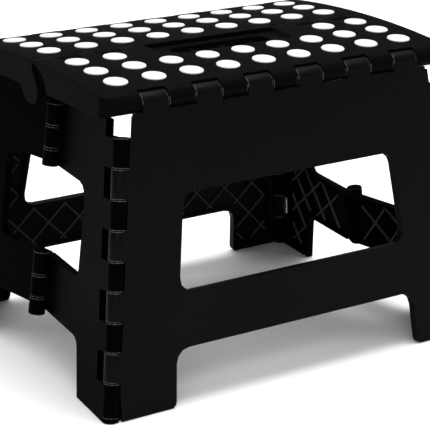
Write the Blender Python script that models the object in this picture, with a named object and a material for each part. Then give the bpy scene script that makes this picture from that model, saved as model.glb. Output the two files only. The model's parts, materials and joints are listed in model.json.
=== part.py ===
"""Folding step stool: two seat halves, two panels, four end leaves, hinge pins, grip dots and foot pads."""

import math

import bmesh
import bpy
from mathutils import Matrix, Vector

# Overall sizes
SEAT_TOP = 0.229            # height of the middle of the seat
SEAT_LENGTH = 0.298         # seat, end to end along X
PANEL_HALF = 0.100          # mid-plane to a panel's outer face, carried up to the seat's height
PANEL_SPLAY = math.radians(7.2)
CORNER_HALF = 0.1295        # mid-length to a corner hinge axis, carried up to the seat's height
CORNER_SPLAY = math.radians(7.55)

# Walls
SHELL_DEPTH = 0.0058        # depth of a panel or leaf, skin and flange together
SKIN = 0.0024
FLANGE = 0.0024
SEAT_SKIN = 0.0032
SKIRT = 0.0024

# Running clearances
GAP = 0.0005                # beside and round a hinge knuckle
PIN_GAP = 0.0007            # round a pin in its bore

# Corner hinges, between a panel and a leaf
CORNER_R = 0.0062
CORNER_FOOT = 0.0271        # height of the leaf's foot knuckle
CORNER_KNUCKLE = 0.0209
CORNER_KNUCKLES = 8         # above the foot knuckle, panel and leaf in turn
LEAF_SLOT = 0.0125          # from the axis to the bottom of a slot in the leaf
CORNER_GAP = 0.0008         # between a leaf knuckle and the panel round it
FOOT_SLOT = 0.0058          # from the axis to the panel beside the leaf's foot knuckle

# Hinges between the two leaves of an end
CENTRE_R = 0.0062
CENTRE_PROUD = 0.004        # axis outside the leaf's outer face
WEB_PROUD = 0.0024          # the webs that carry the knuckles, outside the leaf's outer face
CENTRE_AT = 0.100           # height where CENTRE_PROUD and CENTRE_IN are measured
CENTRE_IN = 0.0041          # axis nearer the middle than the corner axes
UPPER_CENTRE = (0.1495, 0.1628, 0.1796, 0.1965)
LOWER_CENTRE = (0.0373, 0.0510, 0.0680, 0.0860)

# Hinges between a panel and its seat half
EDGE_R = 0.0070
EDGE_HEIGHT = 0.2155
EDGE_FINGER = 0.02175
EDGE_FINGERS = 11           # seat and panel in turn, a seat finger in the middle

# Hinge between the seat halves
SEAM_DROP = 0.0080          # axis below the edge hinges
SEAM_R = 0.0065
SEAM_FINGER = 0.0170
SEAM_FINGERS = 5            # on each side of the hand recess, starting with the front half
SEAM_OVERLAP = 0.0058       # how far a finger's top passes the middle
SEAM_END = 0.1465
SEAM_WEB = 0.0135           # how far the rear half's fingers run back under the skin
# While the halves fold, the seam's pins leave the rear half's axis and return to it. This circle holds the
# far part of their way, with its centre outwards from and above the axis.
SEAM_WAY = (0.0049, 0.0049)
SEAM_WAY_R = 0.0041
# The rear half's ear at each end of the seam: distance from the middle, height, corner radius
EAR_CORNERS = (
    (0.0003, 0.2225, 0),
    (-0.0085, 0.2080, 0.008),
    (-0.0040, 0.1975, 0.007),
    (0.0085, 0.1975, 0.007),
    (0.0200, 0.2090, 0),
)
EAR_CLEAR = 0.0205          # radius of the front half's skirt round the rear half's ear
EDGE_LIP = 0.0015           # how far the skin laps over the top of a panel finger
EDGE_CUT = 0.2082           # top of the panel beside its fingers

# Pins
PIN_R = 0.0015

# Panel outline
WINDOW_BOTTOM = 0.0812
WINDOW_TOP = 0.1510
WINDOW_HALF_BOTTOM = 0.1006
WINDOW_HALF_TOP = 0.0916
WINDOW_CORNER = 0.0095
ARCH_TOP = 0.0415
ARCH_HALF_BOTTOM = 0.1095
ARCH_HALF_TOP = 0.1060
ARCH_CORNER = 0.011
FOOT_CORNER = 0.005

# Leaf outline
LEAF_TOP = 0.2040
LEAF_WINDOW_BOTTOM = 0.0835
LEAF_WINDOW_TOP = 0.1507
LEAF_WINDOW_HALF = 0.058
LEAF_WINDOW_UPPER_CORNER = 0.012
LEAF_WINDOW_LOWER_CORNER = 0.006
LEAF_FOOT_BOTTOM = 0.0465   # width of the foot from the corner axis
LEAF_FOOT_TOP = 0.0510
LEAF_ARCH_CORNER = 0.009

# Seat
CROWN_STEPS = 6
CROWN_DROP = 0.0050         # the crowned top falls this much from the middle to the edge hinge
SKIRT_BOTTOM = 0.2090
RIB_BOTTOM = 0.2130
CORNER_ROUND = 0.012        # the seat's outer corners, seen from above
RECESS_HALF = 0.0575
RECESS_DEPTH = 0.0340
RECESS_SINK = 0.0030
RECESS_CORNER = 0.009
HAND_HALF = 0.0430
HAND_FRONT = 0.0255
HAND_BACK = 0.0085
HAND_CORNER = 0.0075

# Grip dots
DOT_PITCH = 0.0310
DOT_COLUMNS = 9
ROW_PITCH = 0.0266
ROW_FIRST = 0.0206
ROWS = 3
DOT_R = 0.0087
DOT_HEIGHT = 0.0009
DOT_SEAT_GAP = 0.0003
STEM_R = 0.0030
RUNNER_R = 0.0013           # rods that join the stems under the seat
RUNNER_AT = 3.5             # cross runners, in dot pitches from the middle

# Foot pads
PAD = (0.024, 0.0032, 0.0014)
PAD_GAP = 0.0003
FOOT_RAISE = 0.0004         # the plastic foot stands this much above the floor
FOOT_SOLID = 0.0060

SIDES = {"front": -1, "rear": 1}
ENDS = {"left": -1, "right": 1}


# Places worked out from the sizes
def panel_y(z):
    """Distance of a panel's outer face from the mid-plane at height z."""
    return PANEL_HALF + (SEAT_TOP - z) * math.tan(PANEL_SPLAY)


def corner_axis(z, end=-1, side=-1):
    """Point of a corner hinge axis at height z."""
    x = CORNER_HALF + (SEAT_TOP - z) * math.tan(CORNER_SPLAY)
    y = panel_y(z) - CORNER_R / math.cos(PANEL_SPLAY)
    return Vector((end * x, side * y, z))


def apex():
    """Where the corner axes of the left end meet, high above the stool."""
    low, high = corner_axis(0), corner_axis(SEAT_TOP)
    share = low.y / (low.y - high.y)
    return low + (high - low) * share


def centre_axis(z, end=-1):
    """Point of an end's centre hinge axis at height z; it passes through that end's apex."""
    top = apex()
    at = Vector((corner_axis(CENTRE_AT).x + CENTRE_IN, 0, CENTRE_AT))
    point = top + (at - top) * ((top.z - z) / (top.z - at.z))
    return Vector((-end * point.x, 0, point.z))


EDGE_Y = panel_y(EDGE_HEIGHT) - EDGE_R / math.cos(PANEL_SPLAY)
SEAM_HEIGHT = EDGE_HEIGHT - SEAM_DROP
KNUCKLE_ENDS = [CORNER_FOOT + CORNER_KNUCKLE * i for i in range(CORNER_KNUCKLES + 1)]


def crown(y):
    """Height of the seat's crowned top at distance y from the middle."""
    return SEAT_TOP - CROWN_DROP * (y / EDGE_Y) ** 2


# Scene, materials and modelling helpers
for old in list(bpy.data.objects):
    bpy.data.objects.remove(old, do_unlink=True)
parts = bpy.data.collections.new("step_stool")
cutters = bpy.data.collections.new("cutters")
for collection in (parts, cutters):
    bpy.context.scene.collection.children.link(collection)


def material(name, colour, roughness, metallic=0.0):
    made = bpy.data.materials.new(name)
    made.use_nodes = True
    shader = made.node_tree.nodes["Principled BSDF"]
    shader.inputs["Base Color"].default_value = (*colour, 1)
    shader.inputs["Roughness"].default_value = roughness
    shader.inputs["Metallic"].default_value = metallic
    return made


FINISHES = {
    "seat": ((0.012, 0.012, 0.012), 0.45),
    "panel": ((0.010, 0.010, 0.010), 0.42),
    "leaf": ((0.009, 0.009, 0.009), 0.42),
    "dots": ((0.85, 0.85, 0.87), 0.55),
    "pad": ((0.02, 0.02, 0.02), 0.85),
    "pin": ((0.62, 0.62, 0.64), 0.30, 1.0),
}


def new_object(name, mesh, finish=None):
    """A part in its collection with its own material or, with no finish, a hidden cutter."""
    made = bpy.data.objects.new(name, mesh)
    if finish:
        mesh.materials.clear()
        mesh.materials.append(material(name, *FINISHES[finish]))
        parts.objects.link(made)
    else:
        cutters.objects.link(made)
        made.hide_render = True
        made.display_type = "WIRE"
    return made


def frame_matrix(origin, along, up):
    """Matrix whose X runs along, Y up, and Z square to both."""
    across = along.cross(up).normalized()
    return Matrix.Translation(origin) @ Matrix((along, up, across)).transposed().to_4x4()


def rounded(corners, steps=3):
    """Closed outline through corners (x, y, radius), each rounded by an arc."""
    points = []
    for i, (x, y, radius) in enumerate(corners):
        here = Vector((x, y))
        before = (Vector(corners[i - 1][:2]) - here).normalized()
        after = (Vector(corners[(i + 1) % len(corners)][:2]) - here).normalized()
        if not radius:
            points.append(here)
            continue
        half = before.angle(after) / 2
        middle = here + (before + after).normalized() * (radius / math.sin(half))
        start = here + before * (radius / math.tan(half)) - middle
        sweep = start.angle_signed(here + after * (radius / math.tan(half)) - middle)
        points += [middle + Matrix.Rotation(-sweep * k / steps, 2) @ start for k in range(steps + 1)]
    return points


def inset(points, distance):
    """The outline moved inwards; the points run counter-clockwise."""
    moved = []
    for i, here in enumerate(points):
        before = (here - points[i - 1]).normalized()
        after = (points[(i + 1) % len(points)] - here).normalized()
        left, right = Vector((-before.y, before.x)), Vector((-after.y, after.x))
        moved.append(here + (left + right) * (distance / (1 + left.dot(right))))
    return moved


def plate_mesh(name, loops, low, high, matrix):
    """Flat outlines, holes included, filled and extruded from low to high along the frame's Z."""
    curve = bpy.data.curves.new(name, "CURVE")
    curve.dimensions = "2D"
    curve.fill_mode = "BOTH"
    curve.extrude = (high - low) / 2
    for loop in loops:
        spline = curve.splines.new("POLY")
        spline.points.add(len(loop) - 1)
        for point, (x, y) in zip(spline.points, loop):
            point.co = (x, y, 0, 1)
        spline.use_cyclic_u = True
    guide = bpy.data.objects.new(name, curve)
    cutters.objects.link(guide)
    bpy.context.view_layer.update()
    mesh = bpy.data.meshes.new_from_object(guide.evaluated_get(bpy.context.evaluated_depsgraph_get()))
    bpy.data.objects.remove(guide)
    bm = bmesh.new()
    bm.from_mesh(mesh)
    bmesh.ops.remove_doubles(bm, verts=bm.verts, dist=1e-6)
    bmesh.ops.recalc_face_normals(bm, faces=bm.faces)
    bmesh.ops.transform(bm, matrix=matrix @ Matrix.Translation((0, 0, (high + low) / 2)), verts=bm.verts)
    bm.to_mesh(mesh)
    bm.free()
    mesh.name = name
    return mesh


def rods_mesh(name, runs, radius, segments=10):
    """Round rods, one for each (start, end) in runs, as one mesh."""
    bm = bmesh.new()
    for start, end in runs:
        direction = end - start
        turn = direction.normalized().to_track_quat("Z", "Y").to_matrix().to_4x4()
        bmesh.ops.create_cone(
            bm,
            cap_ends=True,
            segments=segments,
            radius1=radius,
            radius2=radius,
            depth=direction.length,
            matrix=Matrix.Translation((start + end) / 2) @ turn,
        )
    mesh = bpy.data.meshes.new(name)
    bm.to_mesh(mesh)
    bm.free()
    return mesh


def boxes_mesh(name, boxes, matrix=Matrix()):
    """Boxes, one for each (low corner, high corner), in the frame of matrix."""
    bm = bmesh.new()
    for low, high in boxes:
        low, high = Vector(low), Vector(high)
        size = Matrix.Diagonal((*(high - low), 1))
        bmesh.ops.create_cube(bm, size=1, matrix=matrix @ Matrix.Translation((low + high) / 2) @ size)
    mesh = bpy.data.meshes.new(name)
    bm.to_mesh(mesh)
    bm.free()
    return mesh


def joined(name, meshes):
    """Several meshes as one."""
    bm = bmesh.new()
    for each in meshes:
        bm.from_mesh(each)
    mesh = bpy.data.meshes.new(name)
    bm.to_mesh(mesh)
    bm.free()
    return mesh


def combine(target, mesh, operation):
    """Joins a mesh to the target or cuts it out, with a live Boolean."""
    tool = new_object(f"{target.name}_{operation.lower()}_{len(target.modifiers)}", mesh)
    change = target.modifiers.new(tool.name, "BOOLEAN")
    change.operation = operation
    change.object = tool
    change.solver = "EXACT"


def shade(target):
    target.data.shade_smooth()
    target.data.set_sharp_from_angle(angle=math.radians(35))


def along(axis, spans, inner=0.0):
    """Start and end points on an axis for each (low, high) height, shortened by inner at both ends."""
    return [(axis(low + inner), axis(high - inner)) for low, high in spans]


def below_floor(name):
    reach = 0.4
    return boxes_mesh(name, [((-reach, -reach, -0.03), (reach, reach, FOOT_RAISE))])


# Hinge layouts
panel_spans = [pair for i, pair in enumerate(zip(KNUCKLE_ENDS, KNUCKLE_ENDS[1:])) if i % 2 == 0]
leaf_spans = [pair for i, pair in enumerate(zip(KNUCKLE_ENDS, KNUCKLE_ENDS[1:])) if i % 2 == 1]
leaf_spans.append((-0.004, CORNER_FOOT))
PANEL_REACH = SEAT_LENGTH / 2
finger_edges = [(i - EDGE_FINGERS / 2) * EDGE_FINGER for i in range(EDGE_FINGERS + 1)]
finger_spans = list(zip(finger_edges, finger_edges[1:]))
seat_fingers = finger_spans[1::2]
panel_fingers = finger_spans[0::2]
seam_edges = [SEAM_END - SEAM_FINGER * i for i in range(SEAM_FINGERS + 1)]
seam_spans = [(low, high) for high, low in zip(seam_edges, seam_edges[1:])]


def both_ends(spans):
    return spans + [(-high, -low) for low, high in spans]


front_seam = both_ends(seam_spans[0::2])
rear_seam = both_ends(seam_spans[1::2])


def edge_axis(side):
    return lambda x: Vector((x, side * EDGE_Y, EDGE_HEIGHT))


def seam_axis(x):
    return Vector((x, 0, SEAM_HEIGHT))


def long_panel(name, side):
    """A splayed panel with a window and a leg arch: a thin skin with a flange round its inner edges."""
    tilt = math.cos(PANEL_SPLAY)
    up = Vector((0, -side * math.sin(PANEL_SPLAY), tilt))
    place = frame_matrix(Vector((0, side * panel_y(0), 0)), Vector((-side, 0, 0)), up)

    def corners(points):
        return [(x, z / tilt, radius) for x, z, radius in points]

    def outline(edge_cut, top):
        low, high = -corner_axis(0).x - edge_cut, -corner_axis(top).x - edge_cut
        return rounded(
            corners(
                [
                    (-low, 0, 0),
                    (-ARCH_HALF_BOTTOM, 0, FOOT_CORNER),
                    (-ARCH_HALF_TOP, ARCH_TOP, ARCH_CORNER),
                    (ARCH_HALF_TOP, ARCH_TOP, ARCH_CORNER),
                    (ARCH_HALF_BOTTOM, 0, FOOT_CORNER),
                    (low, 0, 0),
                    (high, top, 0),
                    (-high, top, 0),
                ]
            )
        )

    window = rounded(
        corners(
            [
                (-WINDOW_HALF_BOTTOM, WINDOW_BOTTOM, WINDOW_CORNER),
                (WINDOW_HALF_BOTTOM, WINDOW_BOTTOM, WINDOW_CORNER),
                (WINDOW_HALF_TOP, WINDOW_TOP, WINDOW_CORNER),
                (-WINDOW_HALF_TOP, WINDOW_TOP, WINDOW_CORNER),
            ]
        )
    )
    body = new_object(
        name, plate_mesh(name, [outline(0, EDGE_HEIGHT), window], -SHELL_DEPTH, 0, place), "panel"
    )
    slot = CORNER_R + CORNER_GAP
    pocket = inset(outline(slot, EDGE_CUT), FLANGE)
    combine(
        body,
        plate_mesh("pocket", [pocket, inset(window, -FLANGE)], -SHELL_DEPTH - 0.001, -SKIN, place),
        "DIFFERENCE",
    )
    combine(body, boxes_mesh("foot_blocks", foot_blocks(), place), "UNION")
    beside = [(-PANEL_REACH, finger_edges[0])] + seat_fingers + [(finger_edges[-1], PANEL_REACH)]
    above = [((low - GAP / 2, EDGE_CUT / tilt, -0.02), (high + GAP / 2, 0.25, 0.02)) for low, high in beside]
    combine(body, boxes_mesh("finger_gaps", above, place), "DIFFERENCE")
    foot = -corner_axis(0).x - FOOT_SLOT
    feet = [((foot, -0.01, -0.02), (foot + 0.03, CORNER_FOOT, 0.02))]
    feet.append(((-foot - 0.03, -0.01, -0.02), (-foot, CORNER_FOOT, 0.02)))
    combine(body, boxes_mesh("foot_gaps", feet, place), "DIFFERENCE")
    for end in ENDS.values():

        def corner(z, end=end):
            return corner_axis(z, end, side)

        spans = [(low, high) for low, high in leaf_spans if high < KNUCKLE_ENDS[-1]]
        spans.append((KNUCKLE_ENDS[-2], EDGE_HEIGHT + 0.01))
        combine(body, rods_mesh("slots", along(corner, spans, -GAP / 4), slot), "DIFFERENCE")
        combine(body, rods_mesh("knuckles", along(corner, panel_spans, GAP / 2), CORNER_R), "UNION")
        bore = [(corner(-0.005), corner(KNUCKLE_ENDS[-1] + 0.005))]
        combine(body, rods_mesh("bore", bore, PIN_R + PIN_GAP, 6), "DIFFERENCE")
    axis = edge_axis(side)
    combine(body, rods_mesh("fingers", along(axis, panel_fingers, GAP / 2), EDGE_R, 12), "UNION")
    edge_bore = [(axis(-PANEL_REACH), axis(PANEL_REACH))]
    combine(body, rods_mesh("edge_bore", edge_bore, PIN_R + PIN_GAP, 8), "DIFFERENCE")
    combine(body, below_floor("floor_cut"), "DIFFERENCE")
    combine(body, pad_grooves([panel_pad_place(end, side) for end in ENDS.values()]), "DIFFERENCE")
    shade(body)


def foot_blocks():
    """Corners of the solid bottoms of a panel's two feet, which hold the pads."""
    inner, outer = ARCH_HALF_BOTTOM + FOOT_CORNER, -corner_axis(0).x - 1.5 * CORNER_R
    low, high = (FLANGE / 2, -SHELL_DEPTH), (FOOT_SOLID, -SKIN / 2)
    return [((inner, *low), (outer, *high)), ((-outer, *low), (-inner, *high))]


def panel_pad_place(end, side):
    """Middle of the bottom of a pad under a panel's foot."""
    outer = -corner_axis(0).x - 1.5 * CORNER_R
    y = panel_y(0) - SHELL_DEPTH / 2 / math.cos(PANEL_SPLAY)
    return frame_matrix(
        Vector((end * (ARCH_HALF_BOTTOM + FOOT_CORNER + outer) / 2, side * y, 0)),
        Vector((1, 0, 0)),
        Vector((0, 1, 0)),
    )


def leaf_frame(end, side):
    """Frame of a leaf's outer face: X from the corner axis to the centre, Y up the corner axis."""
    low, high = corner_axis(0, end, side), corner_axis(SEAT_TOP, end, side)
    up = (high - low).normalized()
    to_centre = centre_axis(CENTRE_AT, end) - low
    to_centre -= up * to_centre.dot(up)
    # The outer face lies CORNER_R outside the corner axis and CENTRE_PROUD inside the centre axis.
    turn = math.asin((CORNER_R + CENTRE_PROUD) / to_centre.length)
    sign = 1 if to_centre.cross(up).x * end > 0 else -1
    across = Matrix.Rotation(sign * turn, 3, up) @ to_centre.normalized()
    out = across.cross(up).normalized() * sign
    return frame_matrix(low + out * CORNER_R, across, up), sign


def leaf_pad_place(end, side):
    """Middle of the bottom of a pad under a leaf's foot."""
    frame, sign = leaf_frame(end, side)
    across = frame.to_3x3() @ Vector((1, 0, 0))
    across.z = 0
    across.normalize()
    middle = frame @ Vector(((LEAF_SLOT + LEAF_FOOT_BOTTOM - FOOT_CORNER) / 2, 0, -sign * SHELL_DEPTH / 2))
    middle.z = 0
    return frame_matrix(middle, across, Vector((0, 0, 1)).cross(across))


def pad_grooves(places):
    """Grooves for the pads in the bottoms of the feet."""
    length, width, height = PAD
    low = (-length / 2 - PAD_GAP, -width / 2 - PAD_GAP, -0.01)
    high = (length / 2 + PAD_GAP, width / 2 + PAD_GAP, height + PAD_GAP)
    return joined("grooves", [boxes_mesh("groove", [(low, high)], place) for place in places])


def end_leaf(name, end, side, outer_knuckles):
    """Half of an end wall, hinged to a panel at the corner and to the other leaf in the middle."""
    frame, sign = leaf_frame(end, side)
    back = frame.inverted()

    def across(z):
        """The centre axis's place across the leaf at height z."""
        return (back @ centre_axis(z, end)).x

    rise = (frame.to_3x3() @ Vector((1, 0, 0))).z
    tall = (frame.to_3x3() @ Vector((0, 1, 0))).z
    foot_z = frame.translation.z

    def corners(points):
        return [(x, (z - foot_z - x * rise) / tall, radius) for x, z, radius in points]

    def outline(edge):
        def mid(z):
            return across(z) - GAP / 2

        upper = UPPER_CENTRE[-1]
        return rounded(
            corners(
                [
                    (edge, -0.004, 0),
                    (LEAF_FOOT_BOTTOM, -0.004, FOOT_CORNER),
                    (LEAF_FOOT_TOP, ARCH_TOP, LEAF_ARCH_CORNER),
                    (mid(ARCH_TOP), ARCH_TOP, 0),
                    (mid(LEAF_WINDOW_BOTTOM), LEAF_WINDOW_BOTTOM, 0),
                    (mid(LEAF_WINDOW_BOTTOM) - LEAF_WINDOW_HALF, LEAF_WINDOW_BOTTOM, LEAF_WINDOW_LOWER_CORNER),
                    (mid(LEAF_WINDOW_TOP) - LEAF_WINDOW_HALF, LEAF_WINDOW_TOP, LEAF_WINDOW_UPPER_CORNER),
                    (mid(LEAF_WINDOW_TOP), LEAF_WINDOW_TOP, 0),
                    (mid(upper), upper, 0),
                    (mid(upper) - 2 * CENTRE_R, upper, 0),
                    (mid(LEAF_TOP) - 3.5 * CENTRE_R, LEAF_TOP, 0),
                    (edge, LEAF_TOP, 0),
                ]
            )
        )

    skin_low, skin_high = sorted((0, -sign * SHELL_DEPTH))
    body = new_object(name, plate_mesh(name, [outline(0)], skin_low, skin_high, frame), "leaf")
    low, high = sorted((-sign * SKIN, -sign * (SHELL_DEPTH + 0.001)))
    combine(body, plate_mesh("pocket", [inset(outline(LEAF_SLOT), FLANGE)], low, high, frame), "DIFFERENCE")
    depths = sorted((-sign * SKIN / 2, -sign * SHELL_DEPTH))
    foot = ((LEAF_SLOT + FLANGE / 2, -0.003, depths[0]), (LEAF_FOOT_BOTTOM - FOOT_CORNER, FOOT_SOLID, depths[1]))
    combine(body, boxes_mesh("foot_block", [foot], frame), "UNION")

    def corner(z):
        return corner_axis(z, end, side)

    spans = panel_spans + [(KNUCKLE_ENDS[-1], LEAF_TOP + 0.01)]
    heights = [((corner(low) - corner(0)).length, (corner(high) - corner(0)).length) for low, high in spans]
    boxes = [((-0.02, low, -0.02), (LEAF_SLOT, high, 0.02)) for low, high in heights]
    combine(body, boxes_mesh("slots", boxes, frame), "DIFFERENCE")
    combine(body, rods_mesh("knuckles", along(corner, leaf_spans, GAP / 2), CORNER_R), "UNION")
    bore = [(corner(-0.01), corner(LEAF_TOP + 0.01))]
    combine(body, rods_mesh("bore", bore, PIN_R + PIN_GAP, 6), "DIFFERENCE")

    def centre(z):
        return centre_axis(z, end)

    pairs = [list(zip(heights, heights[1:])) for heights in (LOWER_CENTRE, UPPER_CENTRE)]
    own = [pair for barrel in pairs for i, pair in enumerate(barrel) if (i != 1) == outer_knuckles]
    others = [pair for barrel in pairs for i, pair in enumerate(barrel) if (i != 1) != outer_knuckles]
    clear = [(low - 0.004 * (low in (LOWER_CENTRE[0], UPPER_CENTRE[0])), high) for low, high in others]
    combine(body, rods_mesh("centre_slots", along(centre, clear), CENTRE_R + GAP), "DIFFERENCE")
    combine(body, rods_mesh("centre_knuckles", along(centre, own, GAP), CENTRE_R), "UNION")
    webs = []
    for low, high in own:
        x = across((low + high) / 2)
        depths = sorted((-sign * SKIN / 2, sign * WEB_PROUD))
        heights = [(back @ centre(low + GAP)).y, (back @ centre(high - GAP)).y]
        inner = max(heights[0], (ARCH_TOP - foot_z - x * rise) / tall) if low == LOWER_CENTRE[0] else heights[0]
        webs.append(((x - 1.7 * CENTRE_R, inner, depths[0]), (x - 0.4 * CENTRE_R, heights[1], depths[1])))
    combine(body, boxes_mesh("webs", webs, frame), "UNION")
    for heights in (LOWER_CENTRE, UPPER_CENTRE):
        bore = [(centre(heights[0] - 0.004), centre(heights[-1] + 0.004))]
        combine(body, rods_mesh("centre_bore", bore, PIN_R + PIN_GAP, 6), "DIFFERENCE")
    combine(body, below_floor("floor_cut"), "DIFFERENCE")
    combine(body, pad_grooves([leaf_pad_place(end, side)]), "DIFFERENCE")
    shade(body)


def skin_line(drop):
    """Points of the crowned skin, lowered by drop, from the seam out to the edge hinge."""
    distances = [GAP / 2 + (EDGE_Y - GAP / 2) * i / CROWN_STEPS for i in range(CROWN_STEPS + 1)]
    return [Vector((y, crown(y) - drop)) for y in distances]


def seat_profile():
    """Section of a seat half from the seam out to the edge hinge, in (distance from the middle, height)."""
    rise = crown(EDGE_Y) - EDGE_HEIGHT
    nose = []
    for degrees in range(60, -181, -30):
        turn = math.radians(degrees)
        height = rise if degrees > 0 else EDGE_R
        nose.append(Vector((EDGE_Y + EDGE_R * math.cos(turn), EDGE_HEIGHT + height * math.sin(turn))))
    return skin_line(0) + nose + skin_line(SEAT_SKIN)[-2::-1]


def side_frame(side):
    """Frame with X along the seat, Y away from the middle on this side, and Z up."""
    return frame_matrix(Vector(), Vector((side, 0, 0)), Vector((0, side, 0)))


def seam_way(radius):
    """Outline round the places of a barrel or pin of this radius in the other half's section."""
    centre, axis = Vector(SEAM_WAY), Vector((0, SEAM_HEIGHT))
    heading = math.atan2(centre.y, centre.x)
    turn = math.pi / 2 + math.asin(SEAM_WAY_R / centre.length)
    points = []
    for middle, size, first, last, steps in (
        (axis + centre, radius + SEAM_WAY_R, heading - turn, heading + turn, 8),
        (axis, radius, heading + turn, heading + 2 * math.pi - turn, 3),
    ):
        for k in range(steps + 1):
            angle = first + (last - first) * k / steps
            points.append(middle + size * Vector((math.cos(angle), math.sin(angle))))
    return points


def seam_finger(side):
    """Section of a seam finger in (distance from the middle, height): a web from the top down round the axis."""
    web, last = (SEAM_R, 2) if side < 0 else (SEAM_WEB, 1.75)
    top, steps = crown(web) - 0.00005, 6
    points = [Vector((-SEAM_OVERLAP, top))]
    first = math.pi + math.acos(SEAM_OVERLAP / SEAM_R)
    for k in range(steps + 1):
        angle = first + (last * math.pi - first) * k / steps
        points.append(Vector((SEAM_R * math.cos(angle), SEAM_HEIGHT + SEAM_R * math.sin(angle))))
    if side > 0:
        points.append(Vector((web, points[-1].y)))
    return points + [Vector((web, top))]


def seat_half(name, side):
    """A crowned skin with end skirts, fingers along both hinges and, on the front half, the hand recess."""
    section = frame_matrix(Vector(), Vector((0, side, 0)), Vector((0, 0, 1)))
    across = side_frame(side)
    half = SEAT_LENGTH / 2
    body = new_object(name, plate_mesh(name, [seat_profile()], -half, half, section), "seat")
    corners = list(EAR_CORNERS) if side > 0 else [(GAP / 2, SKIRT_BOTTOM, 0)]
    corners += [(EDGE_Y, SKIRT_BOTTOM, 0), (EDGE_Y + 0.9 * EDGE_R, EDGE_HEIGHT, 0)]
    skirt = rounded(corners + [(*point, 0) for point in skin_line(SEAT_SKIN / 2)[::-1]])
    for end in ENDS.values():
        ends = sorted((end * half, end * (half - SKIRT)))
        combine(body, plate_mesh("skirt", [skirt], *ends, section), "UNION")
    ribs = []
    for row in (0.5, 1.5):
        middle = ROW_FIRST + row * ROW_PITCH
        low, high = middle - SKIRT / 2, middle + SKIRT / 2
        gap = RUNNER_AT * DOT_PITCH
        top, inner = crown(middle) - SEAT_SKIN / 2, SKIRT / 2
        for start, stop in [(-half, -gap - 0.004), (-gap + 0.004, gap - 0.004), (gap + 0.004, half)]:
            ribs.append(((start + inner, low, RIB_BOTTOM), (stop - inner, high, top)))
    combine(body, boxes_mesh("ribs", ribs, across), "UNION")
    if side < 0:
        hand_recess(body, across)
    own, others = (front_seam, rear_seam) if side < 0 else (rear_seam, front_seam)
    reach = SEAM_OVERLAP + 2 * GAP
    room = [((low, -0.02, SEAM_HEIGHT), (high, reach, SEAT_TOP + 0.01)) for low, high in others]
    combine(body, boxes_mesh("seam_gaps", room, across), "DIFFERENCE")
    way = seam_way(SEAM_R + GAP)
    rooms = [plate_mesh("room", [way], low - GAP / 10, high + GAP / 10, section) for low, high in others]
    combine(body, joined("seam_room", rooms), "DIFFERENCE")
    finger = seam_finger(side)
    fingers = [plate_mesh("finger", [finger], low + GAP, high - GAP, section) for low, high in own]
    combine(body, joined("seam_fingers", fingers), "UNION")
    if side < 0:
        ends = both_ends([(SEAM_END - GAP / 2, half + GAP)])
        combine(body, rods_mesh("ear_room", along(seam_axis, ends), EAR_CLEAR, 16), "DIFFERENCE")
    bores = both_ends([(seam_edges[-1] - 0.002, SEAM_END - 0.001)])
    if side < 0:
        bore = rods_mesh("seam_bore", along(seam_axis, bores), PIN_R + PIN_GAP, 8)
    else:
        way = seam_way(PIN_R + PIN_GAP)
        bore = joined("seam_bore", [plate_mesh("way", [way], low, high, section) for low, high in bores])
    combine(body, bore, "DIFFERENCE")
    axis = edge_axis(side)
    inner = EDGE_Y - EDGE_LIP
    notches = [((low - GAP / 2, inner, 0.2), (high + GAP / 2, 0.2, 0.25)) for low, high in panel_fingers]
    combine(body, boxes_mesh("finger_gaps", notches, across), "DIFFERENCE")
    room = along(axis, panel_fingers, -GAP * 0.4)
    combine(body, rods_mesh("finger_room", room, EDGE_R + GAP, 12), "DIFFERENCE")
    ends = [(finger_edges[0] - 0.006, finger_edges[0]), (finger_edges[-1], finger_edges[-1] + 0.006)]
    edge_bore = along(axis, seat_fingers + ends, -GAP)
    combine(body, rods_mesh("edge_bore", edge_bore, PIN_R + PIN_GAP, 6), "DIFFERENCE")
    combine(body, joined("corner_cuts", [corner_cut(end, across) for end in ENDS.values()]), "DIFFERENCE")
    places = [dot_place(*dot, side) for dot in dots_on(side)]
    stems = [(at @ Vector((0, 0, -0.02)), at @ Vector((0, 0, 0.01))) for at in places]
    combine(body, rods_mesh("stem_holes", stems, STEM_R + 2 * DOT_SEAT_GAP, 4), "DIFFERENCE")
    shade(body)


def corner_cut(end, across):
    """What is cut away outside a quarter round at an outer corner of the seat."""
    reach = Vector((SEAT_LENGTH / 2, EDGE_Y + EDGE_R))
    middle = reach - Vector((1, 1)) * (CORNER_ROUND - GAP)
    outline = [Vector((reach.x + 4 * GAP, middle.y)), reach + Vector((4, 4)) * GAP]
    outline.append(Vector((middle.x, reach.y + 4 * GAP)))
    for k in range(7):
        angle = math.pi / 2 * (1 - k / 6)
        outline.append(middle + CORNER_ROUND * Vector((math.cos(angle), math.sin(angle))))
    outline = [Vector((end * point.x, point.y)) for point in outline]
    return plate_mesh("corner_cut", [outline[::end]], 0.19, 0.26, across)


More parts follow.
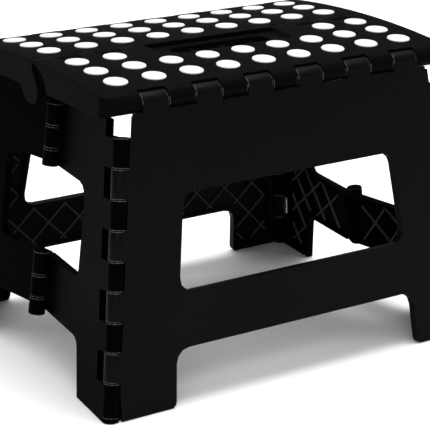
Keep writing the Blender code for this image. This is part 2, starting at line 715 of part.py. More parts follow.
def hand_recess(body, across):
    """The sunk hand hold beside the seam, with its slot right through."""
    floor_top = SEAT_TOP - RECESS_SINK
    low = (-RECESS_HALF - SKIRT, GAP, floor_top - SEAT_SKIN)
    high = (RECESS_HALF + SKIRT, RECESS_DEPTH + SKIRT, SEAT_TOP - 0.002)
    combine(body, boxes_mesh("recess_pad", [(low, high)], across), "UNION")
    corner = RECESS_CORNER
    sunk = [(-RECESS_HALF, -0.01, 0), (RECESS_HALF, -0.01, 0)]
    sunk += [(RECESS_HALF, RECESS_DEPTH, corner), (-RECESS_HALF, RECESS_DEPTH, corner)]
    combine(body, plate_mesh("recess", [rounded(sunk)], floor_top, SEAT_TOP + 0.01, across), "DIFFERENCE")
    slot = [(-HAND_HALF, HAND_BACK), (HAND_HALF, HAND_BACK), (HAND_HALF, HAND_FRONT), (-HAND_HALF, HAND_FRONT)]
    slot = [(x, y, HAND_CORNER) for x, y in slot]
    combine(body, plate_mesh("hand_slot", [rounded(slot)], 0.2, 0.25, across), "DIFFERENCE")


def dots_on(side):
    """Column and row of each dot; the hand recess takes the place of five on the front half."""
    middle = (DOT_COLUMNS - 1) // 2
    full = [(column - middle, row) for row in range(ROWS) for column in range(DOT_COLUMNS)]
    return [(column, row) for column, row in full if side > 0 or row > 0 or abs(column) > middle - 2]


def dot_place(column, row, side):
    """Frame on the crowned surface under a dot."""
    y = ROW_FIRST + row * ROW_PITCH
    slope = -2 * CROWN_DROP * y / EDGE_Y**2
    out = Vector((0, side, slope)).normalized()
    return frame_matrix(Vector((column * DOT_PITCH, side * y, crown(y))), Vector((side, 0, 0)), out)


def grip_dots(name, side):
    """Soft dots on the seat, each with a stem through the skin to rods that join them underneath."""
    places = {dot: dot_place(*dot, side) for dot in dots_on(side)}
    under = -SEAT_SKIN - RUNNER_R - 2 * DOT_SEAT_GAP
    foot, top = DOT_SEAT_GAP, DOT_SEAT_GAP + DOT_HEIGHT
    caps = [(at @ Vector((0, 0, foot)), at @ Vector((0, 0, top))) for at in places.values()]
    body = new_object(name, rods_mesh(name, caps, DOT_R, 8), "dots")
    middle = foot + DOT_HEIGHT / 2
    stems = [(at @ Vector((0, 0, under)), at @ Vector((0, 0, middle))) for at in places.values()]
    combine(body, rods_mesh("stems", stems, STEM_R, 4), "UNION")
    runners = []
    for row in range(ROWS):
        columns = sorted(column for column, each in places if each == row)
        half = len(columns) // 2
        groups = [columns] if len(columns) == DOT_COLUMNS else [columns[:half], columns[half:]]
        for group in groups:
            ends = [places[column, row] @ Vector((0, 0, under)) for column in (group[0], group[-1])]
            runners.append(tuple(ends))
    combine(body, rods_mesh("row_runners", runners, RUNNER_R, 4), "UNION")
    for end in ENDS.values():
        shift = Vector((end * side * RUNNER_AT * DOT_PITCH, 0, under))
        run = tuple(dot_place(0, row, side) @ shift for row in (0, ROWS - 1))
        combine(body, rods_mesh("cross_runner", [run], RUNNER_R, 4), "UNION")
    shade(body)


def pin(name, start, end):
    shade(new_object(name, rods_mesh(name, [(start, end)], PIN_R, 6), "pin"))


def pad(name, place):
    length, width, height = PAD
    mesh = boxes_mesh(name, [((-length / 2, -width / 2, 0), (length / 2, width / 2, height))], place)
    new_object(name, mesh, "pad")


# Assembly
for side_name, side in SIDES.items():
    long_panel(f"{side_name}_panel", side)
    seat_half(f"seat_{side_name}", side)
    grip_dots(f"grip_dots_{side_name}", side)
    edge = edge_axis(side)
    pin(f"edge_pin_{side_name}", edge(finger_edges[0] - 0.004), edge(finger_edges[-1] + 0.004))
    for end_name, end in ENDS.items():
        corner_name = f"{side_name}_{end_name}"
        end_leaf(f"leaf_{corner_name}", end, side, outer_knuckles=end == -side)
        low, high = corner_axis(0.003, end, side), corner_axis(KNUCKLE_ENDS[-1] - 0.001, end, side)
        pin(f"corner_pin_{corner_name}", low, high)
        pad(f"foot_pad_panel_{corner_name}", panel_pad_place(end, side))
        pad(f"foot_pad_leaf_{corner_name}", leaf_pad_place(end, side))
for end_name, end in ENDS.items():
    for level, heights in (("upper", UPPER_CENTRE), ("lower", LOWER_CENTRE)):
        low, high = centre_axis(heights[0] + 0.001, end), centre_axis(heights[-1] - 0.001, end)
        pin(f"centre_pin_{level}_{end_name}", low, high)
    seam = sorted((end * (seam_edges[-1] + 0.001), end * (SEAM_END - 0.0015)))
    pin(f"seam_pin_{end_name}", *[seam_axis(x) for x in seam])
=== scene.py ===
"""A folding step stool in black plastic with pale grip dots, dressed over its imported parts."""

import json
import math

import bmesh
import bpy
import numpy as np
from mathutils import Matrix


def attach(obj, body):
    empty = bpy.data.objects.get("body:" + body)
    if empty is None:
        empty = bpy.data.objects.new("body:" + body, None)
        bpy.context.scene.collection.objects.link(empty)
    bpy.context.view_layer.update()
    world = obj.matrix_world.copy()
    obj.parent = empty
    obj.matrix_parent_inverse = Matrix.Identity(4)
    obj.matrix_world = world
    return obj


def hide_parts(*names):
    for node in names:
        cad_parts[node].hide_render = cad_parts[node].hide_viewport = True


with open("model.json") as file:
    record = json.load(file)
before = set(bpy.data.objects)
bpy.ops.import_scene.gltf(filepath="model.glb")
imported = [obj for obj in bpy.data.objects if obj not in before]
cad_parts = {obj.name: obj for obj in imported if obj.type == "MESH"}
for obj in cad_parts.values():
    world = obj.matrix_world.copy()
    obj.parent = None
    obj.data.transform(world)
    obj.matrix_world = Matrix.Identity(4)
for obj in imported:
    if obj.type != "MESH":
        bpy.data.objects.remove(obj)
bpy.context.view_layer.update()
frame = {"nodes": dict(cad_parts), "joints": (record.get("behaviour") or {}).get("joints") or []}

# ---------------------------------------------------------------------------------------------
# Camera: a long lens a little above the seat, turned towards the stool's front left corner.

CAMERA_PLACE = (-0.7523, -1.1377, 0.5406)
CAMERA_TURN = math.radians(-33.75)   # about the vertical, from looking along +Y
CAMERA_DIP = math.radians(18.38)     # below the horizontal
CAMERA_ROLL = math.radians(0.37)
CAMERA_LENS = 155.3                  # millimetres, on a sensor 36 mm wide

camera = bpy.data.objects.new("camera", bpy.data.cameras.new("camera"))
camera.data.sensor_width = 36
camera.data.lens = CAMERA_LENS
camera.data.clip_end = 50
turn = Matrix.Rotation(CAMERA_TURN, 4, "Z") @ Matrix.Rotation(math.pi / 2 - CAMERA_DIP, 4, "X")
camera.matrix_world = Matrix.Translation(CAMERA_PLACE) @ turn @ Matrix.Rotation(CAMERA_ROLL, 4, "Z")
bpy.context.scene.collection.objects.link(camera)
bpy.context.scene.camera = camera

# ---------------------------------------------------------------------------------------------
# Floor and studio: a seamless white floor under a bright ceiling that fades to dark walls, so the
# black plastic stays deep, with a broad soft box overhead and a low fill from the front left.

FLOOR_REACH, FLOOR_DROP = 6.0, -0.0002
WALL_TOP, CEILING_FROM = 0.42, 0.80   # sines of the heights where its light begins and is full
WALL_GREY, CEILING_STRENGTH = 0.14, 1.55
LIGHTS = (
    # name, place, aim, width and height, power
    ("overhead", (0.30, 0.10, 1.90), (0.0, 0.0, 0.10), (1.3, 1.0), 30.0),
    ("fill", (-1.5, -2.0, 0.90), (0.0, 0.0, 0.10), (1.5, 0.8), 14.0),
)


def plain_mesh(name, points, faces):
    """A mesh from an array of points and an array of corner numbers, one row for each face."""
    mesh = bpy.data.meshes.new(name)
    mesh.from_pydata(np.asarray(points).reshape(-1, 3).tolist(), [], np.asarray(faces).tolist())
    return mesh


floor_corners = [[x, y, FLOOR_DROP] for x, y in ((-1, -1), (1, -1), (1, 1), (-1, 1))]
floor = bpy.data.objects.new("floor", plain_mesh("floor", floor_corners, [[0, 1, 2, 3]]))
floor.data.transform(Matrix.Diagonal((FLOOR_REACH, FLOOR_REACH, 1, 1)))
bpy.context.scene.collection.objects.link(floor)
paper = bpy.data.materials.new("floor_paper")
paper.use_nodes = True
paper.node_tree.nodes["Principled BSDF"].inputs["Base Color"].default_value = (0.93, 0.93, 0.93, 1)
paper.node_tree.nodes["Principled BSDF"].inputs["Roughness"].default_value = 0.9
paper.node_tree.nodes["Principled BSDF"].inputs["Specular IOR Level"].default_value = 0.1
floor.data.materials.append(paper)

for name, place, aim, size, power in LIGHTS:
    lamp = bpy.data.lights.new(name, "AREA")
    lamp.shape = "RECTANGLE"
    lamp.size, lamp.size_y = size
    lamp.energy = power
    holder = bpy.data.objects.new(name, lamp)
    way = np.array(aim) - np.array(place)
    back = -way / np.linalg.norm(way)
    side = np.cross((0, 0, 1), back)
    side /= np.linalg.norm(side)
    turn = Matrix(np.column_stack([side, np.cross(back, side), back]).tolist()).to_4x4()
    holder.matrix_world = Matrix.Translation(place) @ turn
    bpy.context.scene.collection.objects.link(holder)

world = bpy.data.worlds.new("studio")
bpy.context.scene.world = world
world.use_nodes = True
sky = world.node_tree
direction = sky.nodes.new("ShaderNodeTexCoord")
parts = sky.nodes.new("ShaderNodeSeparateXYZ")
ceiling = sky.nodes.new("ShaderNodeValToRGB")
lower, upper = ceiling.color_ramp.elements
lower.position, lower.color = WALL_TOP, (WALL_GREY, WALL_GREY, WALL_GREY, 1)
upper.position, upper.color = CEILING_FROM, (1, 1, 1, 1)
sky.links.new(direction.outputs["Generated"], parts.inputs["Vector"])
sky.links.new(parts.outputs["Z"], ceiling.inputs["Fac"])
sky.links.new(ceiling.outputs["Color"], sky.nodes["Background"].inputs["Color"])
sky.nodes["Background"].inputs["Strength"].default_value = CEILING_STRENGTH
bpy.context.scene.view_settings.view_transform = "Standard"

# ---------------------------------------------------------------------------------------------
# Walls: the two long panels, the four end leaves and the two seat halves are injection moulded
# in black polypropylene, with a fine satin grain from the mould and every edge softened. The
# knuckles and the ribs inside are moulded with them, in the same plastic, but each part gets its
# own copy of the black: the leaves' copy is darker as painted shade, and the ribs' copy is far
# lighter as painted light thrown up from the floor.

EDGE_ROUND = {"panel": 0.0007, "leaf": 0.0007, "seat": 0.0011}
SMOOTH_BELOW = math.radians(42)


def moulded_black(name, colour, roughness, gloss, edge):
    """Satin plastic: a fine grain in the bump, faint flow marks in the roughness, rounded edges."""
    made = bpy.data.materials.new(name)
    made.use_nodes = True
    nodes, links = made.node_tree.nodes, made.node_tree.links
    shader = nodes["Principled BSDF"]
    shader.inputs["Specular IOR Level"].default_value = gloss
    place = nodes.new("ShaderNodeTexCoord")
    tint = nodes.new("ShaderNodeTexNoise")
    tint.inputs["Scale"].default_value = 14
    tint.inputs["Detail"].default_value = 4
    shades = nodes.new("ShaderNodeValToRGB")
    shades.color_ramp.elements[0].color = (*[part * 0.80 for part in colour], 1)
    shades.color_ramp.elements[1].color = (*[part * 1.25 for part in colour], 1)
    flow = nodes.new("ShaderNodeTexNoise")
    flow.inputs["Scale"].default_value = 38
    flow.inputs["Detail"].default_value = 5
    spread = nodes.new("ShaderNodeMapRange")
    spread.inputs["To Min"].default_value = roughness - 0.05
    spread.inputs["To Max"].default_value = roughness + 0.07
    grain = nodes.new("ShaderNodeTexNoise")
    grain.inputs["Scale"].default_value = 2600
    grain.inputs["Detail"].default_value = 2
    soft = nodes.new("ShaderNodeBevel")
    soft.samples = 6
    soft.inputs["Radius"].default_value = edge
    bump = nodes.new("ShaderNodeBump")
    bump.inputs["Strength"].default_value = 0.10
    bump.inputs["Distance"].default_value = 0.00005
    for source in (tint, flow, grain):
        links.new(place.outputs["Object"], source.inputs["Vector"])
    links.new(tint.outputs["Fac"], shades.inputs["Fac"])
    links.new(shades.outputs["Color"], shader.inputs["Base Color"])
    links.new(flow.outputs["Fac"], spread.inputs["Value"])
    links.new(spread.outputs["Result"], shader.inputs["Roughness"])
    links.new(grain.outputs["Fac"], bump.inputs["Height"])
    links.new(soft.outputs["Normal"], bump.inputs["Normal"])
    links.new(bump.outputs["Normal"], shader.inputs["Normal"])
    return made


# Lit and shaded copies of one black plastic: the leaf copy is darker as painted shade, and the rib
# copy is far lighter as painted light thrown up from the floor.
BLACKS = {
    "panel": moulded_black("panel_black", (0.0026, 0.0026, 0.0026), 0.36, 0.030, EDGE_ROUND["panel"]),
    "leaf": moulded_black("leaf_black", (0.0007, 0.0007, 0.0007), 0.36, 0.004, EDGE_ROUND["leaf"]),
    "seat": moulded_black("seat_black", (0.0022, 0.0022, 0.0020), 0.42, 0.006, EDGE_ROUND["seat"]),
    "rib": moulded_black("rib_black", (0.040, 0.040, 0.040), 0.45, 0.10, EDGE_ROUND["leaf"]),
}


def rounded_shell(node, body, finish):
    """A copy of a packed wall with joined points, smooth over its curves and crisp at corners."""
    mesh = frame["nodes"][node].data.copy()
    shell = bpy.data.objects.new(node + "_shell", mesh)
    bm = bmesh.new()
    bm.from_mesh(mesh)
    bmesh.ops.remove_doubles(bm, verts=bm.verts, dist=2e-6)
    bmesh.ops.dissolve_limit(bm, angle_limit=math.radians(0.5), verts=bm.verts, edges=bm.edges)
    bm.to_mesh(mesh)
    bm.free()
    mesh.shade_smooth()
    mesh.set_sharp_from_angle(angle=SMOOTH_BELOW)
    mesh.materials.clear()
    mesh.materials.append(BLACKS[finish])
    bpy.context.scene.collection.objects.link(shell)
    shell.modifiers.new("even_normals", "WEIGHTED_NORMAL").keep_sharp = True
    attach(shell, body)
    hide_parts(node)
    return shell


ENDS = ("left", "right")
ROWS = ("front", "rear")
for row in ROWS:
    rounded_shell(f"{row}_panel", f"{row}_panel", "panel")
    rounded_shell(f"seat_{row}", f"seat_{row}", "seat")
    for end in ENDS:
        rounded_shell(f"leaf_{row}_{end}", f"leaf_{row}_{end}", "leaf")

# ---------------------------------------------------------------------------------------------
# Hinge barrels: round knuckles moulded on the walls, panel and leaf in turn along each corner,
# with a small soft rim at both ends, coloured pale grey at those rims as a painted highlight of
# the light the edges catch. The pins run through them.

BARREL_ROUND = 0.0006
CORNER_R, CENTRE_R, EDGE_R = 0.00622, 0.00622, 0.00702
CORNER_FOOT, CORNER_KNUCKLE, CORNER_KNUCKLES = 0.0271, 0.0209, 8
LOWEST_KNUCKLE = 0.0022   # where the leaf's lowest knuckle starts, just off the floor
UPPER_CENTRE = (0.1495, 0.1628, 0.1796, 0.1965)
LOWER_CENTRE = (0.0373, 0.0510, 0.0680, 0.0860)
EDGE_FINGER, EDGE_FINGERS = 0.02175, 11
SIDE_GAP = 0.0005
# Painted highlight: a pale grey for the knuckles' rounded rims, standing in for the light their edges
# catch.
PAINTED_HIGHLIGHT_GREY = 0.050


def grid_mesh(name, grids, strips=None):
    """Quads between the neighbours of each grid of points, shaped (copies, along, across, 3).

    Across runs round the shape and closes on itself; points that fall together, as at a pole, are
    joined. Strips gives the number of the material for each strip along the shape.
    """
    copies, rows, columns = grids.shape[:3]
    number = np.arange(copies * rows * columns).reshape(copies, rows, columns)
    number = np.concatenate([number, number[:, :, :1]], axis=2)
    near, far = number[:, :-1], number[:, 1:]
    faces = np.stack([near[:, :, :-1], near[:, :, 1:], far[:, :, 1:], far[:, :, :-1]], axis=-1)
    mesh = plain_mesh(name, grids, faces.reshape(-1, 4))
    if strips is not None:
        chosen = np.broadcast_to(np.array(strips)[None, :, None], faces.shape[:3])
        chosen = np.ascontiguousarray(chosen, dtype=np.int32).ravel()
        mesh.polygons.foreach_set("material_index", chosen)
    bm = bmesh.new()
    bm.from_mesh(mesh)
    bmesh.ops.remove_doubles(bm, verts=bm.verts, dist=1e-7)
    bmesh.ops.recalc_face_normals(bm, faces=bm.faces)
    bm.to_mesh(mesh)
    bm.free()
    mesh.shade_smooth()
    return mesh


def turned_mesh(name, starts, ends, profile, segments=40, strips=None):
    """A profile turned about each line from start to end.

    The profile is rows of (share of the length, shift along it, radius). A point is start
    + way * share + unit way * shift + radius * (cos v * one side + sin v * the other), for v once
    round.
    """
    starts, ends, profile = (np.asarray(each, float) for each in (starts, ends, profile))
    way = ends - starts
    unit = way / np.linalg.norm(way, axis=1, keepdims=True)
    helper = np.where(np.abs(unit[:, 2:]) > 0.7, [[1.0, 0, 0]], [[0, 0, 1.0]])
    one = np.cross(unit, helper)
    one /= np.linalg.norm(one, axis=1, keepdims=True)
    other = np.cross(unit, one)
    v = np.linspace(0, 2 * math.pi, segments, endpoint=False)
    ring = np.cos(v)[None, :, None] * one[:, None] + np.sin(v)[None, :, None] * other[:, None]
    share, shift = profile[None, :, :1], profile[None, :, 1:2]
    radius = profile[None, :, 2, None, None]
    line = starts[:, None] + way[:, None] * share + unit[:, None] * shift
    return grid_mesh(name, line[:, :, None] + ring[:, None] * radius, strips)


def barrel_profile(radius, soft=BARREL_ROUND, steps=4):
    """Out from the axis along one end, round a quarter arc, along the barrel, and back in."""
    arc = np.linspace(0, math.pi / 2, steps)
    first = [(0, soft - soft * math.cos(a), radius - soft + soft * math.sin(a)) for a in arc]
    last = [(1, -shift, reach) for _, shift, reach in reversed(first)]
    return [(0, 0, 0), *first, *last, (1, 0, 0)]


def joint_line(name):
    """The point on a hinge's axis at a given height, as a function of that height."""
    joint = next(each for each in frame["joints"] if each["name"] == name)
    place, axis = np.array(joint["pos_m"]), np.array(joint["axis"])
    return lambda z: place + axis * ((z - place[2]) / axis[2])


def dress(name, mesh, body, material):
    """Puts a finished piece in the scene, on its body, in one material or several."""
    if not mesh.materials:
        for each in material if isinstance(material, tuple) else (material,):
            mesh.materials.append(each)
    piece = bpy.data.objects.new(name, mesh)
    bpy.context.scene.collection.objects.link(piece)
    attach(piece, body)
    return piece


# The rim strips of each knuckle take the pale grey as a painted highlight; the rest keeps its wall's
# black.
RIM_STRIPS = [0, 1, 1, 1, 0, 1, 1, 1, 0]   # 1 on the strips of a barrel that are its rounded rims
highlight_rims = moulded_black("rubbed_rim", (PAINTED_HIGHLIGHT_GREY, PAINTED_HIGHLIGHT_GREY, PAINTED_HIGHLIGHT_GREY), 0.40, 0.20, 0.0003)
KNUCKLES = {finish: (BLACKS[finish], highlight_rims) for finish in ("panel", "leaf", "seat")}


def upright_barrels(name, line, spans, radius, body, material):
    """Knuckles on one axis, from pairs of heights, each shortened by half the gap at both ends."""
    starts = [line(low + SIDE_GAP / 2) for low, high in spans]
    ends = [line(high - SIDE_GAP / 2) for low, high in spans]
    barrels = turned_mesh(name, starts, ends, barrel_profile(radius), strips=RIM_STRIPS)
    dress(name, barrels, body, material)


knuckle_ends = CORNER_FOOT + CORNER_KNUCKLE * np.arange(CORNER_KNUCKLES + 1)
knuckle_spans = list(zip(knuckle_ends, knuckle_ends[1:]))
CORNERS = {
    ("front", "left"): "left_front_corner",
    ("rear", "left"): "left_rear_corner",
    ("front", "right"): "right_front_corner",
    ("rear", "right"): "right_rear_corner",
}
for (row, end), joint in CORNERS.items():
    line = joint_line(joint)
    upright_barrels(
        f"panel_knuckles_{row}_{end}",
        line,
        knuckle_spans[0::2],
        CORNER_R,
        f"{row}_panel",
        KNUCKLES["panel"],
    )
    upright_barrels(
        f"leaf_knuckles_{row}_{end}",
        line,
        [(LOWEST_KNUCKLE, CORNER_FOOT), *knuckle_spans[1::2]],
        CORNER_R,
        f"leaf_{row}_{end}",
        KNUCKLES["leaf"],
    )

left_centre = joint_line("left_centre")
CENTRE_LINES = {"left": left_centre, "right": lambda z: left_centre(z) * (-1, 1, 1)}
for end, line in CENTRE_LINES.items():
    for level, heights in (("upper", UPPER_CENTRE), ("lower", LOWER_CENTRE)):
        spans = list(zip(heights, heights[1:]))
        outer, middle = ("rear", "front") if end == "left" else ("front", "rear")
        for row, own in ((outer, spans[0::2]), (middle, spans[1::2])):
            own = [(low + SIDE_GAP / 2, high - SIDE_GAP / 2) for low, high in own]
            name, body = f"centre_knuckles_{level}_{row}_{end}", f"leaf_{row}_{end}"
            upright_barrels(name, line, own, CENTRE_R, body, KNUCKLES["leaf"])

finger_edges = (np.arange(EDGE_FINGERS + 1) - EDGE_FINGERS / 2) * EDGE_FINGER
finger_spans = np.stack([finger_edges[:-1] + SIDE_GAP / 2, finger_edges[1:] - SIDE_GAP / 2], axis=1)
for row in ROWS:
    joint = next(each for each in frame["joints"] if each["name"] == f"seat_{row}_edge")
    y, z = joint["pos_m"][1:]
    for name, spans, body, finish in (
        (f"panel_fingers_{row}", finger_spans[0::2], f"{row}_panel", "panel"),
        (f"seat_fingers_{row}", finger_spans[1::2], f"seat_{row}", "seat"),
    ):
        starts = [(low, y, z) for low, high in spans]
        ends = [(high, y, z) for low, high in spans]
        barrels = turned_mesh(name, starts, ends, barrel_profile(EDGE_R), strips=RIM_STRIPS)
        dress(name, barrels, body, KNUCKLES[finish])

# ---------------------------------------------------------------------------------------------
# Panel lips: a thin rim stands up from each panel's outer face between its fingers, close under
# the seat's barrels, moulded with the panel.

LIP_FOOT, LIP_TOP, LIP_THICK, LIP_IN = 0.2070, 0.2102, 0.0018, 0.00005
PANEL_HALF, PANEL_SPLAY = 0.100, math.radians(7.2)
SPLAY_FROM = 0.2290   # the height at which PANEL_HALF holds
LIP_END = 0.0075      # beyond the outermost fingers

for row, side in (("front", -1), ("rear", 1)):
    first, last = finger_edges[0], finger_edges[-1]
    spans = np.array([*finger_spans[1::2], (first - LIP_END, first), (last, last + LIP_END)])
    height = np.array([LIP_FOOT, LIP_TOP, LIP_TOP, LIP_FOOT])
    depth = np.array([LIP_IN, LIP_IN, LIP_THICK, LIP_THICK])
    y = side * (PANEL_HALF + (SPLAY_FROM - height) * math.tan(PANEL_SPLAY) - depth)
    ring = np.stack(np.broadcast_arrays(spans[:, :, None], y, height), axis=-1)
    middle = ring.mean(axis=2, keepdims=True).repeat(4, axis=2)
    lip = grid_mesh("lip", np.concatenate([middle[:, :1], ring, middle[:, 1:]], axis=1))
    lip.set_sharp_from_angle(angle=SMOOTH_BELOW)
    dress(f"panel_lip_{row}", lip, f"{row}_panel", BLACKS["panel"])

# ---------------------------------------------------------------------------------------------
# Grip dots: soft pale rubber moulded through holes in the seat. Each is a shallow dome with a
# rounded rim, and thin runners join the stems of a half underneath.

DOT_PITCH, DOT_COLUMNS = 0.0310, 9
DOT_ROWS = (0.0206, 0.0472, 0.0738)
DOT_R, DOT_FOOT, DOT_RISE, DOT_RIM, DOT_DOME = 0.0087, 0.0001, 0.0011, 0.0008, 0.0003
STEM_R, RUNNER_R, RUNNER_DROP = 0.0030, 0.0013, 0.0051
CROWN_TOP, CROWN_DROP, CROWN_HALF = 0.2290, 0.0050, 0.09465
CROSS_RUNNER = 3.5   # columns from the middle

dot_rubber = bpy.data.materials.new("dot_rubber")
dot_rubber.use_nodes = True
nodes, links = dot_rubber.node_tree.nodes, dot_rubber.node_tree.links
shader = nodes["Principled BSDF"]
shader.inputs["Roughness"].default_value = 0.55
shader.inputs["Specular IOR Level"].default_value = 0.35
place = nodes.new("ShaderNodeTexCoord")
cloud = nodes.new("ShaderNodeTexNoise")
cloud.inputs["Scale"].default_value = 260
cloud.inputs["Detail"].default_value = 4
pale = nodes.new("ShaderNodeValToRGB")
pale.color_ramp.elements[0].color = (0.57, 0.57, 0.59, 1)
pale.color_ramp.elements[1].color = (0.65, 0.65, 0.67, 1)
skin = nodes.new("ShaderNodeBump")
skin.inputs["Strength"].default_value = 0.25
skin.inputs["Distance"].default_value = 0.0001
links.new(place.outputs["Object"], cloud.inputs["Vector"])
links.new(cloud.outputs["Fac"], pale.inputs["Fac"])
links.new(pale.outputs["Color"], shader.inputs["Base Color"])
links.new(cloud.outputs["Fac"], skin.inputs["Height"])
links.new(skin.outputs["Normal"], shader.inputs["Normal"])


def crown(y):
    """Height and outward slope of the seat's top, a parabola falling CROWN_DROP in CROWN_HALF."""
    return CROWN_TOP - CROWN_DROP * (y / CROWN_HALF) ** 2, 2 * CROWN_DROP * y / CROWN_HALF**2


def dot_profile(steps=5):
    """Up the rim's quarter arc, then in over a dome: its height falls as the radius squared."""
    arc = np.linspace(0, math.pi / 2, steps)
    rim = [(0, DOT_FOOT, 0.0), (0, DOT_FOOT, DOT_R)]
    top = DOT_FOOT + DOT_RISE - DOT_RIM
    rim += [(0, top + DOT_RIM * math.sin(a), DOT_R - DOT_RIM + DOT_RIM * math.cos(a)) for a in arc]
    inner = np.linspace(DOT_R - DOT_RIM, 0, 6)[1:]
    dome = [(0, top + DOT_RIM + DOT_DOME * (1 - (r / (DOT_R - DOT_RIM)) ** 2), r) for r in inner]
    return rim + dome


for row, side in (("front", -1), ("rear", 1)):
    columns = np.arange(DOT_COLUMNS) - DOT_COLUMNS // 2
    every = [(c, i) for i in range(len(DOT_ROWS)) for c in columns]
    spots = [(c, i) for c, i in every if row == "rear" or i or abs(c) > 2]   # clear of the recess
    x = np.array([c * DOT_PITCH for c, i in spots])
    y = np.array([DOT_ROWS[i] for c, i in spots])
    z, lean = crown(y)
    out = np.stack([0 * x, side * lean, 0 * x + 1], axis=1)
    out /= np.linalg.norm(out, axis=1, keepdims=True)
    feet = np.stack([x, side * y, z], axis=1)
    dots = turned_mesh(f"dots_{row}", feet, feet + out, dot_profile(), 36)
    stem = barrel_profile(STEM_R, 0.0004, 3)
    stems = turned_mesh("stems", feet - out * RUNNER_DROP, feet + out * DOT_RISE / 2, stem, 14)
    runs = []
    for i in range(len(DOT_ROWS)):
        own = [k for k, (c, each) in enumerate(spots) if each == i]
        cut = len(own) // 2
        halves = [own] if len(own) == DOT_COLUMNS else [own[:cut], own[cut:]]
        runs += [(feet[half[0]], feet[half[-1]], out[half[0]]) for half in halves]
    for end in (-1, 1):
        first, last = feet[spots.index((4, 0))], feet[spots.index((4, 2))]
        shift = np.array([(end * CROSS_RUNNER - 4) * DOT_PITCH, 0, 0])
        runs.append((first + shift, last + shift, out[spots.index((4, 1))]))
    runners = turned_mesh(
        "runners",
        [start - up * RUNNER_DROP for start, stop, up in runs],
        [stop - up * RUNNER_DROP for start, stop, up in runs],
        barrel_profile(RUNNER_R, 0.0003, 3),
        12,
    )
    whole = bmesh.new()
    for each in (dots, stems, runners):
        whole.from_mesh(each)
    whole.to_mesh(dots)
    whole.free()
    dots.shade_smooth()
    piece = dress(f"dots_{row}", dots, f"seat_{row}", dot_rubber)
    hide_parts(f"grip_dots_{row}")

# ---------------------------------------------------------------------------------------------
# Stiffening ribs: a lattice of thin crossed ribs stands on the inside of every wall, between
# the flanges, and stops short of the windows and arches.

RIB_THICK, RIB_SINK, RIB_RISE = 0.0012, 0.0020, 0.0022
RIB_PITCH = 0.0285
MARGIN = 0.0034                                # from the ribs to any opening or flange
RIB_FOOT, PANEL_RIB_TOP, LEAF_RIB_TOP = 0.0085, 0.2050, 0.1980
SHORTEST_RIB = 5                               # samples a millimetre apart


def lattice(low, high, inside):
    """Lines at +45 and -45 degrees over a rectangle, cut to the stretches where inside is true.

    A line is x = middle + k - s (z - low) for s = 1 and -1, with k in steps of RIB_PITCH. It is
    sampled every millimetre, and a stretch runs from the first sample of a run inside to its last.
    """
    found = []
    for slope in (1, -1):
        reach = abs(high[0] - low[0]) + abs(high[1] - low[1])
        for k in np.arange(-reach, reach, RIB_PITCH):
            z = np.arange(low[1], high[1], 0.001)
            x = (low[0] + high[0]) / 2 + k - slope * (z - low[1])
            good = inside(x, z) & (x > low[0]) & (x < high[0])
            change = np.flatnonzero(np.diff(np.concatenate([[0], good.astype(int), [0]])))
            runs = [(a, b) for a, b in zip(change[::2], change[1::2]) if b - a > SHORTEST_RIB]
            found += [((x[a], z[a]), (x[b - 1], z[b - 1])) for a, b in runs]
    return found


def ribs_mesh(name, lines, place):
    """A low bar along each line, rising from under the wall's skin, closed at both ends."""
    lines = np.array(lines)
    way = lines[:, 1] - lines[:, 0]
    length = np.linalg.norm(way, axis=1)[:, None]
    side = np.stack([-way[:, 1], way[:, 0]], axis=1) / length * RIB_THICK / 2
    top = RIB_SINK + RIB_RISE
    ring = np.array([(-1, RIB_SINK), (1, RIB_SINK), (0.7, top), (-0.7, top)])
    flat = lines[:, :, None] + side[:, None, None] * ring[None, None, :, :1]
    depth = np.broadcast_to(ring[None, None, :, 1:], flat.shape[:3] + (1,))
    closed = np.concatenate([flat, depth], axis=3)
    middle = closed.mean(axis=2, keepdims=True).repeat(4, axis=2)
    grids = np.concatenate([middle[:, :1], closed, middle[:, 1:]], axis=1)
    mesh = grid_mesh(name, place(grids))
    mesh.set_sharp_from_angle(angle=SMOOTH_BELOW)
    return mesh


CORNER_HALF, CORNER_SPLAY = 0.1295, math.radians(7.55)   # the corner axes, at SPLAY_FROM
PANEL_FIELD = ((-0.165, 0.005), (0.165, 0.206))
PANEL_END_IN = 0.0100   # kept clear beside each corner axis
PANEL_WINDOW_HALF, PANEL_WINDOW_FOOT, PANEL_WINDOW_TOP = 0.1006, 0.0812, 0.1510
PANEL_ARCH_HALF, ARCH_TOP = 0.1095, 0.0415


def panel_room(x, z):
    """Inside a panel's flanges: between the corner axes, clear of arch and window."""
    end = CORNER_HALF + (SPLAY_FROM - z) * math.tan(CORNER_SPLAY) - PANEL_END_IN - MARGIN
    level = (z > PANEL_WINDOW_FOOT - MARGIN) & (z < PANEL_WINDOW_TOP + MARGIN)
    window = (np.abs(x) < PANEL_WINDOW_HALF + MARGIN) & level
    arch = (np.abs(x) < PANEL_ARCH_HALF + MARGIN) & (z < ARCH_TOP + MARGIN)
    return (np.abs(x) < end) & ~window & ~arch & (z > RIB_FOOT) & (z < PANEL_RIB_TOP)


for row, side in (("front", -1), ("rear", 1)):

    def panel_place(grids, side=side):
        """Along the stool, up the slanted face, and in from the outer face by the depth."""
        x, z, depth = np.moveaxis(grids, -1, 0)
        y = PANEL_HALF + (SPLAY_FROM - z) * math.tan(PANEL_SPLAY) - depth / math.cos(PANEL_SPLAY)
        return np.stack([x, side * y, z], axis=-1)

    ribs = ribs_mesh("ribs", lattice(*PANEL_FIELD, panel_room), panel_place)
    dress(f"panel_ribs_{row}", ribs, f"{row}_panel", BLACKS["rib"])

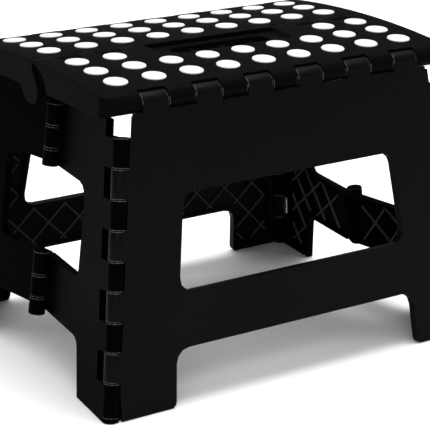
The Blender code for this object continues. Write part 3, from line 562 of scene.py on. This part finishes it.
CENTRE_TURN_OUT = 0.0102   # from the corner axis out to the centre axis, square to the leaf
LEAF_FIELD = ((0.0, 0.005), (0.125, 0.215))
LEAF_WINDOW_HALF, LEAF_WINDOW_FOOT, LEAF_WINDOW_TOP = 0.058, 0.0835, 0.1507
LEAF_FOOT = 0.0465       # from the corner axis across to the arch
LEAF_SIDE_IN = 0.0150    # kept clear beside the corner axis and beside the centre axis

for (row, end), joint in CORNERS.items():
    line, centre_line = joint_line(joint), CENTRE_LINES[end]
    low = line(0.0)
    up = line(1.0) - low
    up /= np.linalg.norm(up)
    to_centre = centre_line(0.100) - low
    to_centre -= up * (to_centre @ up)
    apart = np.linalg.norm(to_centre)
    lean = math.asin(CENTRE_TURN_OUT / apart)
    square = np.cross(to_centre / apart, up)
    square *= np.sign(square[0]) * (1 if end == "right" else -1)
    across = to_centre / apart * math.cos(lean) - square * math.sin(lean)
    facing = square * math.cos(lean) + to_centre / apart * math.sin(lean)
    start = low + facing * CORNER_R

    def leaf_place(grids, start=start, up=up, across=across, facing=facing):
        """Across the leaf from the corner axis, up beside that axis, and in from the outer face."""
        return start + grids[..., :1] * across + grids[..., 1:2] * up - grids[..., 2:] * facing

    def leaf_room(x, y, start=start, up=up, across=across, centre_line=centre_line):
        """Inside a leaf's flanges: from the slots to the centre, clear of arch and window."""
        z = start[2] + x * across[2] + y * up[2]
        lowest = (centre_line(0.0) - start) @ across
        rise = (centre_line(1.0) - centre_line(0.0)) @ across
        centre = lowest + rise * z
        level = (z > LEAF_WINDOW_FOOT - MARGIN) & (z < LEAF_WINDOW_TOP + MARGIN)
        window = (x > centre - LEAF_WINDOW_HALF - MARGIN) & level
        arch = (x > LEAF_FOOT - MARGIN) & (z < ARCH_TOP + MARGIN)
        wide = (x > LEAF_SIDE_IN + MARGIN) & (x < centre - LEAF_SIDE_IN)
        return wide & ~window & ~arch & (z > RIB_FOOT) & (z < LEAF_RIB_TOP)

    ribs = ribs_mesh("ribs", lattice(*LEAF_FIELD, leaf_room), leaf_place)
    dress(f"leaf_ribs_{row}_{end}", ribs, f"leaf_{row}_{end}", BLACKS["rib"])

# ---------------------------------------------------------------------------------------------
# Pins and pads: drawn steel wire through the barrels, and soft black pads in the feet.

wire = bpy.data.materials.new("pin_wire")
wire.use_nodes = True
nodes, links = wire.node_tree.nodes, wire.node_tree.links
shader = nodes["Principled BSDF"]
shader.inputs["Base Color"].default_value = (0.62, 0.62, 0.64, 1)
shader.inputs["Metallic"].default_value = 1.0
place = nodes.new("ShaderNodeTexCoord")
drawn = nodes.new("ShaderNodeTexNoise")
drawn.inputs["Scale"].default_value = 900
spread = nodes.new("ShaderNodeMapRange")
spread.inputs["To Min"].default_value = 0.25
spread.inputs["To Max"].default_value = 0.42
links.new(place.outputs["Object"], drawn.inputs["Vector"])
links.new(drawn.outputs["Fac"], spread.inputs["Value"])
links.new(spread.outputs["Result"], shader.inputs["Roughness"])
pad_rubber = moulded_black("pad_rubber", (0.012, 0.012, 0.012), 0.80, 0.2, 0.0003)
for name, node in frame["nodes"].items():
    if "_pin_" in name or "pad" in name:
        node.data.materials.clear()
        node.data.materials.append(wire if "_pin_" in name else pad_rubber)
